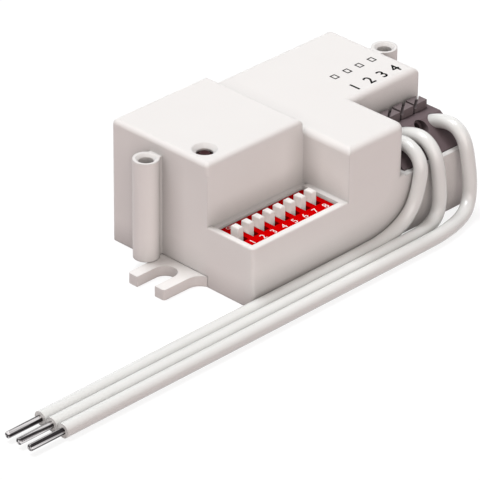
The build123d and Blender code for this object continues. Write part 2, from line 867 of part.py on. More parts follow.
# Radar board under the tall top, with holes for the header pins and the spacer pegs
radar_top = radar_bottom + radar_thickness
with BuildPart() as radar_board:
    with BuildSketch(Plane.XY.offset(radar_bottom)):
        with Locations(((radar_left + radar_right) / 2, (radar_front + radar_back) / 2)):
            Rectangle(radar_right - radar_left, radar_back - radar_front)
        with Locations(*header_places):
            RegularPolygon(pin_hole / 2, pin_hole_sides, mode=Mode.SUBTRACT)
    extrude(amount=radar_thickness)
keep(radar_board, "radar_board")

# Shield can under the radar board, open towards it
with BuildPart() as radar_shield:
    x = left + shield_middle
    shield_back = header_y - header_collar / 2 - shield_gap
    block(
        x - shield_width / 2, x + shield_width / 2, front + shield_front, shield_back,
        radar_bottom - shield_height, radar_bottom,
    )
    fillet(radar_shield.edges().filter_by(Axis.Z), shield_edge)
    top_face = radar_shield.faces().sort_by(Axis.Z)[-1]
    offset(amount=-shield_sheet, openings=top_face)
keep(radar_shield, "radar_shield")

# Four aerial patches on top of the radar board
with BuildPart() as antenna_patches:
    patch_back = header_y - patch_header_gap
    patch_depth = (patch_back - front - patch_front - patch_gap) / 2
    with BuildSketch(Plane.XY.offset(radar_top)):
        with Locations((left + patch_middle, (front + patch_front + patch_back) / 2)):
            with GridLocations(patch_width + patch_gap, patch_depth + patch_gap, 2, 2):
                Rectangle(patch_width, patch_depth)
    extrude(amount=patch_thickness)
keep(antenna_patches, "antenna_patches")

# Pin header that joins the two boards
with BuildPart() as radar_header:
    collar_length = header_pins * header_spacing
    for base in (board_top, radar_bottom - header_collar):
        block(
            header_x - collar_length / 2, header_x + collar_length / 2,
            header_y - header_collar / 2, header_y + header_collar / 2, base, base + header_collar,
        )
    for x, y in header_places:
        block(
            x - header_pin / 2, x + header_pin / 2, y - header_pin / 2, y + header_pin / 2,
            board_bottom - header_tail, radar_top + header_top_tail,
        )
keep(radar_header, "radar_header")

# Two eight-sided pillars that carry the front edge of the radar board
with BuildPart() as radar_spacers:
    with BuildSketch(Plane.XY.offset(board_top)):
        with Locations(*spacer_places):
            RegularPolygon(spacer_diameter / 2, spacer_sides)
    extrude(amount=radar_bottom - board_top)
keep(radar_spacers, "radar_spacers")

# Daylight sensor: a domed lens body on a flange, below its window in the tall top
with BuildPart() as daylight_sensor:
    x, y = left + lens_inset, front + lens_setback
    lens_top = tall_height - lens_below_top
    post(x, y, radar_top, lens_top, lens_diameter)
    dome = daylight_sensor.faces().sort_by(Axis.Z)[-1]
    chamfer(dome.edges(), lens_dome)
    post(x, y, radar_top, radar_top + lens_flange_height, lens_flange)
keep(daylight_sensor, "daylight_sensor")
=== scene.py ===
"""Looks of a built-in microwave motion sensor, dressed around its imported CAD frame.

All lengths are in metres, in the frame of the CAD part: the origin is the middle of the underside, +X runs along
the housing towards the terminal, the switch bank faces -Y and +Z is up.
"""
import logging
import math
from dataclasses import dataclass, field
from enum import Enum
from typing import ClassVar

import bpy
import numpy as np
from mathutils import Euler, Matrix, Vector


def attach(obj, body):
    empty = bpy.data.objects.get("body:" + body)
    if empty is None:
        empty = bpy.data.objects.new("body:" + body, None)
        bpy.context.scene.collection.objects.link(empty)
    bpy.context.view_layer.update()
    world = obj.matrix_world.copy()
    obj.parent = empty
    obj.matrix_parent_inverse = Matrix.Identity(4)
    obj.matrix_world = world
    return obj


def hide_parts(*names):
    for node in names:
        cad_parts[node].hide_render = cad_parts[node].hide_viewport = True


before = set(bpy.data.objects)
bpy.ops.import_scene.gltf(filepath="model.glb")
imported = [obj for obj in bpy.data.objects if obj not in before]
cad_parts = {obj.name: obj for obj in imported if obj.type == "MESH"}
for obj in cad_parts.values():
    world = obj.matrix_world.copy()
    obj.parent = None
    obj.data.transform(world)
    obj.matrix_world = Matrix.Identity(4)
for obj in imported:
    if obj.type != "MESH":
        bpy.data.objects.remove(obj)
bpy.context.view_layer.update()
LOG = logging.getLogger("motion_sensor")
MM = 0.001
LEFT, FRONT = -27.25, -17.1

# Print: how far it lies above its surface and each further strike above the last, both in millimetres, and the
# font size for a letter one unit high
PRINT_LIFT, STRIKE_STEP = 0.01, 0.002
LETTER_TO_FONT = 1.4

# Finishes: noise detail (the last for the painted reflection streaks), samples for rounded edges and for the
# painted shade in corners, the depth of a full bump in metres, and the clear layer of a glossy coat
GRAIN_DETAIL, WAVE_DETAIL, STREAK_DETAIL = 3.0, 1.0, 1.0
EDGE_SAMPLES, CREASE_SAMPLES = 6, 8
BUMP_DEPTH = 0.0001
COAT_WEIGHT, COAT_ROUGHNESS = 0.35, 0.08

# A colour mix node's input sockets for its factor and its two colours, and its output socket for the result
MIX_FACTOR, MIX_FIRST, MIX_SECOND, MIX_RESULT = 0, 6, 7, 2


def place(x: float, y: float, z: float) -> tuple[float, float, float]:
    """Turn millimetres from the housing's left front foot corner into metres in the part's frame."""
    return ((x + LEFT) * MM, (y + FRONT) * MM, z * MM)


class Coat(Enum):
    """How a finish answers light."""

    SATIN = "satin"
    GLOSS = "gloss"
    METAL = "metal"


class ShaderTools:
    """Node groups that several finishes share, each built once."""

    @staticmethod
    def _group(name: str, inputs: dict[str, float], outputs: dict[str, str]) -> bpy.types.ShaderNodeTree:
        """Make an empty shader node group with float inputs and typed outputs.

        Args:
            name: the group's name.
            inputs: input names with their default values.
            outputs: output names with their socket types.

        Returns:
            The node group, with its Group Input and Group Output nodes added.
        """
        tree = bpy.data.node_groups.new(name, "ShaderNodeTree")
        for label, default in inputs.items():
            socket = tree.interface.new_socket(label, in_out="INPUT", socket_type="NodeSocketFloat")
            socket.default_value = default
        for label, kind in outputs.items():
            tree.interface.new_socket(label, in_out="OUTPUT", socket_type=kind)
        tree.nodes.new("NodeGroupInput")
        tree.nodes.new("NodeGroupOutput")
        return tree

    @classmethod
    def moulded_grain(cls) -> bpy.types.ShaderNodeTree:
        """Return the group for moulded plastic: a fine grain height, a slow waviness and a soft tone mask.

        Height = grain noise + waviness noise, each times its own share. Tone is a slow noise from 0 to 1.
        """
        name = "moulded_grain"
        if name in bpy.data.node_groups:
            return bpy.data.node_groups[name]
        tree = cls._group(
            name,
            {"Grain Scale": 2500.0, "Grain Share": 0.6, "Wave Scale": 120.0, "Wave Share": 0.4},
            {"Height": "NodeSocketFloat", "Tone": "NodeSocketFloat"},
        )
        nodes, links = tree.nodes, tree.links
        source, target = nodes["Group Input"], nodes["Group Output"]
        where = nodes.new("ShaderNodeTexCoord")
        grain = nodes.new("ShaderNodeTexNoise")
        grain.inputs["Detail"].default_value = GRAIN_DETAIL
        wave = nodes.new("ShaderNodeTexNoise")
        wave.inputs["Detail"].default_value = WAVE_DETAIL
        links.new(where.outputs["Object"], grain.inputs["Vector"])
        links.new(where.outputs["Object"], wave.inputs["Vector"])
        links.new(source.outputs["Grain Scale"], grain.inputs["Scale"])
        links.new(source.outputs["Wave Scale"], wave.inputs["Scale"])
        grain_part = nodes.new("ShaderNodeMath")
        grain_part.operation = "MULTIPLY"
        links.new(grain.outputs["Fac"], grain_part.inputs[0])
        links.new(source.outputs["Grain Share"], grain_part.inputs[1])
        both = nodes.new("ShaderNodeMath")
        both.operation = "MULTIPLY_ADD"
        links.new(wave.outputs["Fac"], both.inputs[0])
        links.new(source.outputs["Wave Share"], both.inputs[1])
        links.new(grain_part.outputs[0], both.inputs[2])
        links.new(both.outputs[0], target.inputs["Height"])
        links.new(wave.outputs["Fac"], target.inputs["Tone"])
        return tree

    @classmethod
    def soft_edge(cls) -> bpy.types.ShaderNodeTree:
        """Return the group for edges: a rounded normal and a mask that is 1 on sharp edges.

        Mask = 1 minus the cosine between the rounded and the plain normal, stretched by Gain. The mask places a
        painted highlight on sharp edges.
        """
        name = "soft_edge"
        if name in bpy.data.node_groups:
            return bpy.data.node_groups[name]
        tree = cls._group(
            name,
            {"Radius": 0.0002, "Gain": 6.0},
            {"Normal": "NodeSocketVector", "Mask": "NodeSocketFloat"},
        )
        nodes, links = tree.nodes, tree.links
        source, target = nodes["Group Input"], nodes["Group Output"]
        round_over = nodes.new("ShaderNodeBevel")
        round_over.samples = EDGE_SAMPLES
        links.new(source.outputs["Radius"], round_over.inputs["Radius"])
        plain = nodes.new("ShaderNodeNewGeometry")
        cosine = nodes.new("ShaderNodeVectorMath")
        cosine.operation = "DOT_PRODUCT"
        links.new(round_over.outputs["Normal"], cosine.inputs[0])
        links.new(plain.outputs["Normal"], cosine.inputs[1])
        turn = nodes.new("ShaderNodeMath")
        turn.operation = "SUBTRACT"
        turn.inputs[0].default_value = 1.0
        links.new(cosine.outputs["Value"], turn.inputs[1])
        stretch = nodes.new("ShaderNodeMath")
        stretch.operation = "MULTIPLY"
        stretch.use_clamp = True
        links.new(turn.outputs[0], stretch.inputs[0])
        links.new(source.outputs["Gain"], stretch.inputs[1])
        links.new(round_over.outputs["Normal"], target.inputs["Normal"])
        links.new(stretch.outputs[0], target.inputs["Mask"])
        return tree

    @classmethod
    def crease_shade(cls) -> bpy.types.ShaderNodeTree:
        """Return the group for creases: a factor that falls from 1 where neighbouring surfaces stand close.

        Factor = 1 - Depth x (1 - openness), where openness is how much of the near surround is free. The colour is
        scaled by it, which paints shade into inner corners and creases.
        """
        name = "crease_shade"
        if name in bpy.data.node_groups:
            return bpy.data.node_groups[name]
        tree = cls._group(name, {"Reach": 0.005, "Depth": 0.3}, {"Factor": "NodeSocketFloat"})
        nodes, links = tree.nodes, tree.links
        source, target = nodes["Group Input"], nodes["Group Output"]
        open_share = nodes.new("ShaderNodeAmbientOcclusion")
        open_share.samples = CREASE_SAMPLES
        links.new(source.outputs["Reach"], open_share.inputs["Distance"])
        closed = nodes.new("ShaderNodeMath")
        closed.operation = "SUBTRACT"
        closed.inputs[0].default_value = 1.0
        links.new(open_share.outputs["AO"], closed.inputs[1])
        depth = nodes.new("ShaderNodeMath")
        depth.operation = "MULTIPLY"
        links.new(closed.outputs[0], depth.inputs[0])
        links.new(source.outputs["Depth"], depth.inputs[1])
        rest = nodes.new("ShaderNodeMath")
        rest.operation = "SUBTRACT"
        rest.inputs[0].default_value = 1.0
        links.new(depth.outputs[0], rest.inputs[1])
        links.new(rest.outputs[0], target.inputs["Factor"])
        return tree

    @classmethod
    def drawn_streaks(cls) -> bpy.types.ShaderNodeTree:
        """Return the group for painted reflection streaks: a tone that changes across the wire and hardly along it.

        Tone = noise of the object position, with its length pressed by Along and its section stretched by Across,
        then stretched between Low and High.
        """
        name = "drawn_streaks"
        if name in bpy.data.node_groups:
            return bpy.data.node_groups[name]
        tree = cls._group(
            name, {"Along": 60.0, "Across": 2600.0, "Low": 0.46, "High": 0.64}, {"Tone": "NodeSocketFloat"},
        )
        nodes, links = tree.nodes, tree.links
        source, target = nodes["Group Input"], nodes["Group Output"]
        spot = nodes.new("ShaderNodeTexCoord")
        rates = nodes.new("ShaderNodeCombineXYZ")
        links.new(source.outputs["Along"], rates.inputs["X"])
        links.new(source.outputs["Across"], rates.inputs["Y"])
        links.new(source.outputs["Across"], rates.inputs["Z"])
        pressed = nodes.new("ShaderNodeVectorMath")
        pressed.operation = "MULTIPLY"
        links.new(spot.outputs["Object"], pressed.inputs[0])
        links.new(rates.outputs["Vector"], pressed.inputs[1])
        cloud = nodes.new("ShaderNodeTexNoise")
        cloud.inputs["Scale"].default_value = 1.0
        cloud.inputs["Detail"].default_value = STREAK_DETAIL
        links.new(pressed.outputs[0], cloud.inputs["Vector"])
        stretch = nodes.new("ShaderNodeMapRange")
        links.new(cloud.outputs["Fac"], stretch.inputs["Value"])
        links.new(source.outputs["Low"], stretch.inputs["From Min"])
        links.new(source.outputs["High"], stretch.inputs["From Max"])
        links.new(stretch.outputs["Result"], target.inputs["Tone"])
        return tree


@dataclass(frozen=True)
class Finish:
    """One finish of the sensor, made into a node material when first asked for.

    Colours are in Blender's linear values; colour and shade are the two ends of its tone. Where cast is given, it
    is the colour that the surface throws on its neighbours. The edge share lightens sharp edges as a painted
    highlight, the crease depth darkens inner corners as painted shade, and the reflection flag paints the tone in
    dark and bright reflection streaks along the wire. A finish without a slot is print, which has none of its own.
    """

    built: ClassVar[dict[str, bpy.types.Material]] = {}
    name: str
    slot: str
    colour: tuple[float, float, float]
    shade: tuple[float, float, float]
    coat: Coat = Coat.SATIN
    roughness: float = 0.4
    rough_spread: float = 0.08
    grain_scale: float = 2500.0
    wave_scale: float = 120.0
    grain_share: float = 0.6
    bump: float = 0.05
    edge_radius: float = 0.00015
    # painted highlight: how much sharp edges are lightened
    edge_lift: float = 0.12
    specular: float = 0.5
    cast: tuple[float, float, float] | None = None
    # painted shade: how far inner corners and creases darken
    crease: float = 0.0
    # painted reflections: the tone runs in dark and bright streaks along the wire
    drawn: bool = False

    def material(self) -> bpy.types.Material:
        """Return this finish's material, built once."""
        if self.name in self.built:
            return self.built[self.name]
        made = bpy.data.materials.new(f"{self.name}_finish")
        self.built[self.name] = made
        made.use_nodes = True
        nodes, links = made.node_tree.nodes, made.node_tree.links
        surface = nodes["Principled BSDF"]
        surface.inputs["Metallic"].default_value = 1.0 if self.coat is Coat.METAL else 0.0
        surface.inputs["Specular IOR Level"].default_value = self.specular
        if self.coat is Coat.GLOSS:
            surface.inputs["Coat Weight"].default_value = COAT_WEIGHT
            surface.inputs["Coat Roughness"].default_value = COAT_ROUGHNESS
        grain = nodes.new("ShaderNodeGroup")
        grain.node_tree = ShaderTools.moulded_grain()
        grain.inputs["Grain Scale"].default_value = self.grain_scale
        grain.inputs["Wave Scale"].default_value = self.wave_scale
        grain.inputs["Grain Share"].default_value = self.grain_share
        grain.inputs["Wave Share"].default_value = 1.0 - self.grain_share
        edge = nodes.new("ShaderNodeGroup")
        edge.node_tree = ShaderTools.soft_edge()
        edge.inputs["Radius"].default_value = self.edge_radius
        tone = nodes.new("ShaderNodeMix")
        tone.data_type = "RGBA"
        tone.inputs[MIX_FIRST].default_value = (*self.colour, 1.0)
        tone.inputs[MIX_SECOND].default_value = (*self.shade, 1.0)
        links.new(grain.outputs["Tone"], tone.inputs[MIX_FACTOR])
        # Painted reflections: the tone runs in dark and bright streaks along the wire.
        if self.drawn:
            streaks = nodes.new("ShaderNodeGroup")
            streaks.node_tree = ShaderTools.drawn_streaks()
            links.new(streaks.outputs["Tone"], tone.inputs[MIX_FACTOR])
        # Painted highlight: sharp edges are lightened by the edge share.
        lift = nodes.new("ShaderNodeMix")
        lift.data_type = "RGBA"
        lift.blend_type = "SCREEN"
        lift.inputs[MIX_SECOND].default_value = (self.edge_lift, self.edge_lift, self.edge_lift, 1.0)
        links.new(edge.outputs["Mask"], lift.inputs[MIX_FACTOR])
        links.new(tone.outputs[MIX_RESULT], lift.inputs[MIX_FIRST])
        painted = lift.outputs[MIX_RESULT]
        # Painted shade: the colour darkens in inner corners and creases, where neighbouring surfaces stand close.
        if self.crease > 0.0:
            shade = nodes.new("ShaderNodeGroup")
            shade.node_tree = ShaderTools.crease_shade()
            shade.inputs["Depth"].default_value = self.crease
            dark = nodes.new("ShaderNodeVectorMath")
            dark.operation = "SCALE"
            links.new(painted, dark.inputs[0])
            links.new(shade.outputs["Factor"], dark.inputs["Scale"])
            painted = dark.outputs[0]
        if self.cast is not None:
            thrown = nodes.new("ShaderNodeMix")
            thrown.data_type = "RGBA"
            thrown.inputs[MIX_SECOND].default_value = (*self.cast, 1.0)
            path = nodes.new("ShaderNodeLightPath")
            links.new(path.outputs["Is Diffuse Ray"], thrown.inputs[MIX_FACTOR])
            links.new(painted, thrown.inputs[MIX_FIRST])
            painted = thrown.outputs[MIX_RESULT]
        links.new(painted, surface.inputs["Base Color"])
        rough = nodes.new("ShaderNodeMapRange")
        rough.inputs["To Min"].default_value = self.roughness - self.rough_spread / 2
        rough.inputs["To Max"].default_value = self.roughness + self.rough_spread / 2
        links.new(grain.outputs["Tone"], rough.inputs["Value"])
        links.new(rough.outputs["Result"], surface.inputs["Roughness"])
        bump = nodes.new("ShaderNodeBump")
        bump.inputs["Strength"].default_value = self.bump
        bump.inputs["Distance"].default_value = BUMP_DEPTH
        links.new(grain.outputs["Height"], bump.inputs["Height"])
        links.new(edge.outputs["Normal"], bump.inputs["Normal"])
        links.new(bump.outputs["Normal"], surface.inputs["Normal"])
        return made

    def dress_node(self, node: str) -> None:
        """Give a CAD node this finish."""
        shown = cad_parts[node]
        shown.data.materials.clear()
        shown.data.materials.append(self.material())

    def dress_piece(self, piece: bpy.types.Object, body: str) -> None:
        """Give a new piece this finish, and let it ride on a CAD body.

        Args:
            piece: the finished piece, with its place in its mesh.
            body: the CAD body that carries it.
        """
        piece.data.materials.clear()
        piece.data.materials.append(self.material())
        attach(piece, body)


# Crease values paint shade into inner corners, and edge values paint a highlight on sharp edges.
HOUSING_WHITE = Finish(
    "housing_white", "housing_white", (0.905, 0.885, 0.872), (0.890, 0.868, 0.855), roughness=0.52, bump=0.04,
    edge_radius=0.00045, edge_lift=0.14, specular=0.2, crease=0.55,
)
BASE_WHITE = Finish(
    "base_white", "base_white", (0.885, 0.868, 0.856), (0.865, 0.848, 0.836), roughness=0.45, bump=0.04,
    specular=0.2, crease=0.3,
)
WIRE_WHITE = Finish(
    "wire_white", "wire_white", (0.870, 0.876, 0.862), (0.852, 0.857, 0.843), coat=Coat.GLOSS, roughness=0.22,
    bump=0.03, grain_scale=900.0, crease=0.25,
)
SLIDER_WHITE = Finish(
    "slider_white", "slider_white", (0.905, 0.890, 0.870), (0.880, 0.862, 0.845), roughness=0.38,
    edge_radius=0.0001,
)
SWITCH_RED = Finish(
    "switch_red", "switch_red", (0.700, 0.000, 0.001), (0.640, 0.000, 0.001), roughness=0.5, edge_lift=0.0,
    specular=0.0, cast=(0.74, 0.65, 0.63), crease=0.75,
)
SWITCH_DARK = Finish("switch_black", "switch_black", (0.020, 0.018, 0.018), (0.030, 0.028, 0.027))
TERMINAL_GREY = Finish(
    "terminal_grey", "terminal_grey", (0.185, 0.142, 0.152), (0.162, 0.123, 0.132), roughness=0.5, bump=0.06,
    edge_radius=0.00012, edge_lift=0.10, specular=0.08, crease=0.6,
)
BUTTON_GREY = Finish(
    "button_grey", "button_grey", (0.235, 0.192, 0.200), (0.205, 0.166, 0.174), roughness=0.45, bump=0.05,
    edge_radius=0.0001, edge_lift=0.10, specular=0.08, crease=0.6,
)
LENS_RED = Finish(
    "lens_red", "lens_red", (0.045, 0.010, 0.012), (0.030, 0.007, 0.008), roughness=0.30, specular=0.05,
)
PRINT_INK = Finish("print_ink", "", (0.004, 0.004, 0.004), (0.008, 0.008, 0.008), roughness=0.6, specular=0.0)
NUMBER_WHITE = Finish("number_white", "", (0.880, 0.840, 0.830), (0.86, 0.82, 0.81), roughness=0.5, specular=0.0)
# Tinned copper: its tone runs from near black to bright in painted reflection streaks along the wire.
TINNED = Finish(
    "tinned_copper", "tinned_copper", (0.035, 0.031, 0.033), (0.780, 0.752, 0.756), coat=Coat.METAL,
    roughness=0.28, rough_spread=0.2, grain_scale=1800.0, wave_scale=600.0, bump=0.12, edge_lift=0.0, drawn=True,
)
SHEET_METAL = Finish(
    "tinned_metal", "tinned_metal", (0.520, 0.515, 0.505), (0.460, 0.455, 0.450), coat=Coat.METAL, roughness=0.3,
)
CONTACT_BRASS = Finish(
    "contact_brass", "contact_brass", (0.560, 0.470, 0.300), (0.500, 0.415, 0.260), coat=Coat.METAL,
)
SPRING_STEEL = Finish(
    "spring_steel", "spring_steel", (0.400, 0.400, 0.400), (0.350, 0.350, 0.355), coat=Coat.METAL,
)
BOARD_GREEN = Finish("board_green", "board_green", (0.010, 0.080, 0.030), (0.008, 0.066, 0.025), roughness=0.45)
RADAR_GREEN = Finish("radar_green", "radar_green", (0.008, 0.060, 0.040), (0.007, 0.050, 0.034), roughness=0.4)
GOLD_COPPER = Finish(
    "gold_copper", "gold_copper", (0.640, 0.400, 0.120), (0.590, 0.360, 0.105), coat=Coat.METAL, roughness=0.25,
)
RELAY_BLACK = Finish("relay_black", "relay_black", (0.012, 0.012, 0.014), (0.018, 0.018, 0.020), roughness=0.5)
FILM_YELLOW = Finish("film_yellow", "film_yellow", (0.600, 0.340, 0.020), (0.560, 0.310, 0.018), roughness=0.4)
CAN_SLEEVE = Finish("can_sleeve", "can_sleeve", (0.010, 0.014, 0.050), (0.012, 0.016, 0.058), coat=Coat.GLOSS)
FERRITE = Finish("ferrite_grey", "ferrite_grey", (0.030, 0.030, 0.032), (0.040, 0.040, 0.042), roughness=0.7)
FUSE_BLACK = Finish("fuse_black", "fuse_black", (0.020, 0.017, 0.017), (0.026, 0.022, 0.022))
VARISTOR_BLUE = Finish("varistor_blue", "varistor_blue", (0.010, 0.045, 0.240), (0.012, 0.050, 0.260), roughness=0.5)
CHIP_BLACK = Finish("chip_black", "chip_black", (0.008, 0.008, 0.008), (0.012, 0.012, 0.012), roughness=0.55)
HEADER_BLACK = Finish("header_black", "header_black", (0.010, 0.010, 0.010), (0.014, 0.014, 0.014))
SPACER_WHITE = Finish("spacer_white", "spacer_white", (0.720, 0.700, 0.650), (0.700, 0.680, 0.630), roughness=0.5)


@dataclass
class Housing:
    """The white shell, its base and the dark lens of the daylight sensor."""

    mark_height: float = 21.8
    digit_size: float = 2.4
    digit_places: tuple[tuple[float, str], ...] = ((41.0, "1"), (44.7, "2"), (48.0, "3"), (51.3, "4"))
    digit_row: float = 14.35
    digit_weight: float = 0.05
    square_places: tuple[float, ...] = (41.3, 44.5, 47.6, 50.8)
    square_row: float = 20.6
    square_size: tuple[float, float] = (1.25, 1.5)
    square_line: float = 0.25

    def dress(self) -> None:
        """Give the CAD nodes their finishes and add the plain printed marks on the top."""
        HOUSING_WHITE.dress_node("housing_shell")
        BASE_WHITE.dress_node("base_plate")
        LENS_RED.dress_node("daylight_sensor")
        marks = [
            flat_text(
                f"top_number_{mark}", mark, self.digit_size, place(x, self.digit_row, self.mark_height),
                self.digit_weight,
            )
            for x, mark in self.digit_places
        ]
        marks += [self.square(number, x) for number, x in enumerate(self.square_places, start=1)]
        for mark in marks:
            PRINT_INK.dress_piece(mark, "sensor_body")
        LOG.info("housing: %d printed marks", len(marks))

    def square(self, number: int, x: float) -> bpy.types.Object:
        """Make one printed square outline: a flat ring between an outer and an inner square.

        Args:
            number: which terminal pole it stands for.
            x: its middle along the housing, in millimetres from the left end.

        Returns:
            The new piece, lying just above the top.
        """
        corners = np.array([(-1, -1), (1, -1), (1, 1), (-1, 1)], float)
        half = np.array(self.square_size) / 2
        outer = corners * half
        inner = corners * (half - self.square_line)
        flat = np.concatenate([outer, inner])
        middle = np.array(place(x, self.square_row, self.mark_height + PRINT_LIFT))
        points = np.zeros((8, 3))
        points[:, :2] = flat * MM
        faces = [(i, (i + 1) % 4, 4 + (i + 1) % 4, 4 + i) for i in range(4)]
        mesh = bpy.data.meshes.new(f"top_square_{number}")
        mesh.from_pydata((points + middle).tolist(), [], faces)
        made = bpy.data.objects.new(f"top_square_{number}", mesh)
        bpy.context.scene.collection.objects.link(made)
        return made


def flat_text(
    name: str, words: str, size: float, where: tuple[float, float, float], weight: float = 0.0,
) -> bpy.types.Object:
    """Make printed characters as a flat mesh that faces up.

    Args:
        name: the piece's name.
        words: the characters.
        size: their height in millimetres.
        where: the middle of their foot line, in metres.
        weight: how far the strokes grow on each side, in millimetres; the flat outline is struck again at each
            of four places around the first, one a little above the other.

    Returns:
        The new piece, with its place in its mesh.
    """
    curve = bpy.data.curves.new(name + "_curve", "FONT")
    curve.body = words
    curve.size = size * MM * LETTER_TO_FONT
    curve.align_x = "CENTER"
    curve.align_y = "BOTTOM_BASELINE"
    writer = bpy.data.objects.new(name + "_writer", curve)
    bpy.context.scene.collection.objects.link(writer)
    bpy.context.view_layer.update()
    graph = bpy.context.evaluated_depsgraph_get()
    flat = bpy.data.meshes.new_from_object(writer.evaluated_get(graph))
    bpy.data.objects.remove(writer)
    points = np.zeros(len(flat.vertices) * 3)
    flat.vertices.foreach_get("co", points)
    points = points.reshape(-1, 3) + np.array(where)
    faces = [tuple(face.vertices) for face in flat.polygons]
    bpy.data.meshes.remove(flat)
    strikes = ((1, 0), (-1, 0), (0, 1), (0, -1)) if weight > 0.0 else ((0, 0),)
    shifts = [
        np.array((x * weight, y * weight, PRINT_LIFT + STRIKE_STEP * turn)) * MM
        for turn, (x, y) in enumerate(strikes)
    ]
    mesh = bpy.data.meshes.new(name)
    mesh.from_pydata(
        np.concatenate([points + shift for shift in shifts]).tolist(), [],
        [tuple(corner + turn * len(points) for corner in face) for turn in range(len(shifts)) for face in faces],
    )
    made = bpy.data.objects.new(name, mesh)
    bpy.context.scene.collection.objects.link(made)
    return made


@dataclass
class SwitchBank:
    """The eight-way switch bank: red lid, white pegs, dark base and printed numbers."""

    count: int = 8
    pitch: float = 2.54
    first: float = 2.35
    face: float = 11.0
    number_shift: float = 0.5
    number_row: float = 2.25
    number_size: float = 1.4
    word_place: tuple[float, float] = (3.7, 8.7)
    word_size: float = 0.85

    def dress(self) -> None:
        """Give the bank its finishes and print its numbers and ON mark."""
        SWITCH_RED.dress_node("switch_lid")
        SWITCH_DARK.dress_node("switch_base")
        SHEET_METAL.dress_node("switch_pins")
        for number in range(1, self.count + 1):
            SLIDER_WHITE.dress_node(f"switch_slider_{number}")
            across = self.first + self.number_shift + (number - 1) * self.pitch
            where = place(across, self.number_row, self.face)
            digit = flat_text(f"switch_number_{number}", str(number), self.number_size, where)
            NUMBER_WHITE.dress_piece(digit, "sensor_body")
        on_mark = flat_text("switch_on_mark", "ON", self.word_size, place(*self.word_place, self.face))
        NUMBER_WHITE.dress_piece(on_mark, "sensor_body")
        LOG.info("switch bank: %d pegs and numbers", self.count)


@dataclass
class Terminal:
    """The push-in terminal with its release buttons, contacts and springs."""

    poles: int = 4

    def dress(self) -> None:
        """Give the terminal's CAD nodes their finishes."""
        TERMINAL_GREY.dress_node("terminal_body")
        CONTACT_BRASS.dress_node("terminal_contacts")
        SPRING_STEEL.dress_node("terminal_springs")
        for number in range(1, self.poles + 1):
            BUTTON_GREY.dress_node(f"terminal_button_{number}")
        LOG.info("terminal: %d poles", self.poles)


@dataclass
class Wire:
    """One insulated wire on its route, from the terminal port to the cut end of its insulation."""

    number: int
    lane: float
    port_x: float
    length: float
    turn: tuple[tuple[float, float, float], ...]
    diameter: float = 2.6
    start_y: float = 7.199
    start_z: float = 14.112
    tail_end: float = -50.2
    steps_along: int = 24
    steps_around: int = 8
    spline_order: int = 3

    def route(self) -> list[tuple[float, float, float]]:
        """Return the route's points in metres, the same as those of the CAD tube."""
        start = (self.port_x, self.start_y, self.start_z)
        end = (self.tail_end, self.lane, self.diameter / 2)
        return [place(*point) for point in (start, *self.turn, end)]

    def build(self) -> bpy.types.Object:
        """Returns:
            The wire's curve object, riding on the sensor's body.
        """
        points = self.route()
        curve = bpy.data.curves.new(f"wire_line_{self.number}", "CURVE")
        curve.dimensions = "3D"
        curve.resolution_u = self.steps_along
        curve.bevel_depth = self.diameter / 2 * MM
        curve.bevel_resolution = self.steps_around
        curve.use_fill_caps = True
        spline = curve.splines.new("NURBS")
        spline.points.add(len(points) - 1)
        spline.points.foreach_set("co", np.array([(*point, 1.0) for point in points]).ravel())
        spline.order_u = self.spline_order
        spline.use_endpoint_u = True
        made = bpy.data.objects.new(f"insulated_wire_{self.number}", curve)
        bpy.context.scene.collection.objects.link(made)
        WIRE_WHITE.dress_piece(made, "sensor_body")
        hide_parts(f"wire_{self.number}")
        return made


@dataclass
class WireSet:
    """The three connected wires with their bare conductors."""

    wires: tuple[Wire, ...] = (
        Wire(
            1, -1.42, 41.3, 106.5,
            (
                (41.3, 4.0, 15.67), (40.5, -1.25, 13.8), (39.6, -1.42, 8.4), (37.5, -1.42, 4.4),
                (32.8, -1.42, 2.0), (25.5, -1.42, 1.3),
            ),
        ),
        Wire(
            2, -4.06, 44.8, 113.95,
            (
                (44.8, 3.6, 15.87), (44.45, -0.8, 13.9), (44.45, -2.1, 7.8), (44.1, -2.4, 2.9),
                (41.2, -3.1, 1.3), (34.5, -4.06, 1.3),
            ),
        ),
        Wire(
            3, -6.70, 51.8, 122.4,
            (
                (51.8, 3.2, 16.06), (51.45, -1.3, 14.6), (51.45, -2.9, 7.5), (51.2, -3.2, 2.9),
                (48.2, -4.7, 1.3), (42.6, -6.2, 1.3), (35.5, -6.70, 1.3),
            ),
        ),
    )

    def dress(self) -> None:
        """Build the three wires and give their conductors a tinned finish."""
        for wire in self.wires:
            wire.build()
            TINNED.dress_node(f"conductor_{wire.number}")
        LOG.info("wires: %d", len(self.wires))


@dataclass
class Electronics:
    """What the housing holds inside."""

    finishes: dict[str, Finish] = field(default_factory=lambda: {
        "main_board": BOARD_GREEN, "relay": RELAY_BLACK, "film_capacitor": FILM_YELLOW,
        "main_capacitor": CAN_SLEEVE, "small_capacitor": CAN_SLEEVE, "choke": FERRITE, "fuse": FUSE_BLACK,
        "varistor": VARISTOR_BLUE, "controller": CHIP_BLACK, "regulator": CHIP_BLACK, "rectifier": CHIP_BLACK,
        "radar_board": RADAR_GREEN, "radar_shield": SHEET_METAL, "antenna_patches": GOLD_COPPER,
        "radar_header": HEADER_BLACK, "radar_spacers": SPACER_WHITE,
    })

    def dress(self) -> None:
        """Give each inner part its finish."""
        for node, finish in self.finishes.items():
            finish.dress_node(node)
        LOG.info("electronics: %d parts", len(self.finishes))


@dataclass(frozen=True)
class Lamp:
    """One soft studio lamp: a broad sun with its level, its spread and turn in degrees, and its colour."""

    name: str
    level: float
    spread: float
    turn: tuple[float, float, float]
    colour: tuple[float, float, float]

    def hang(self) -> None:
        """Put the lamp into the scene."""
        data = bpy.data.lights.new(self.name, "SUN")
        data.energy = self.level
        data.color = self.colour
        data.angle = math.radians(self.spread)
        made = bpy.data.objects.new(self.name, data)
        made.rotation_euler = Euler([math.radians(a) for a in self.turn])
        bpy.context.scene.collection.objects.link(made)


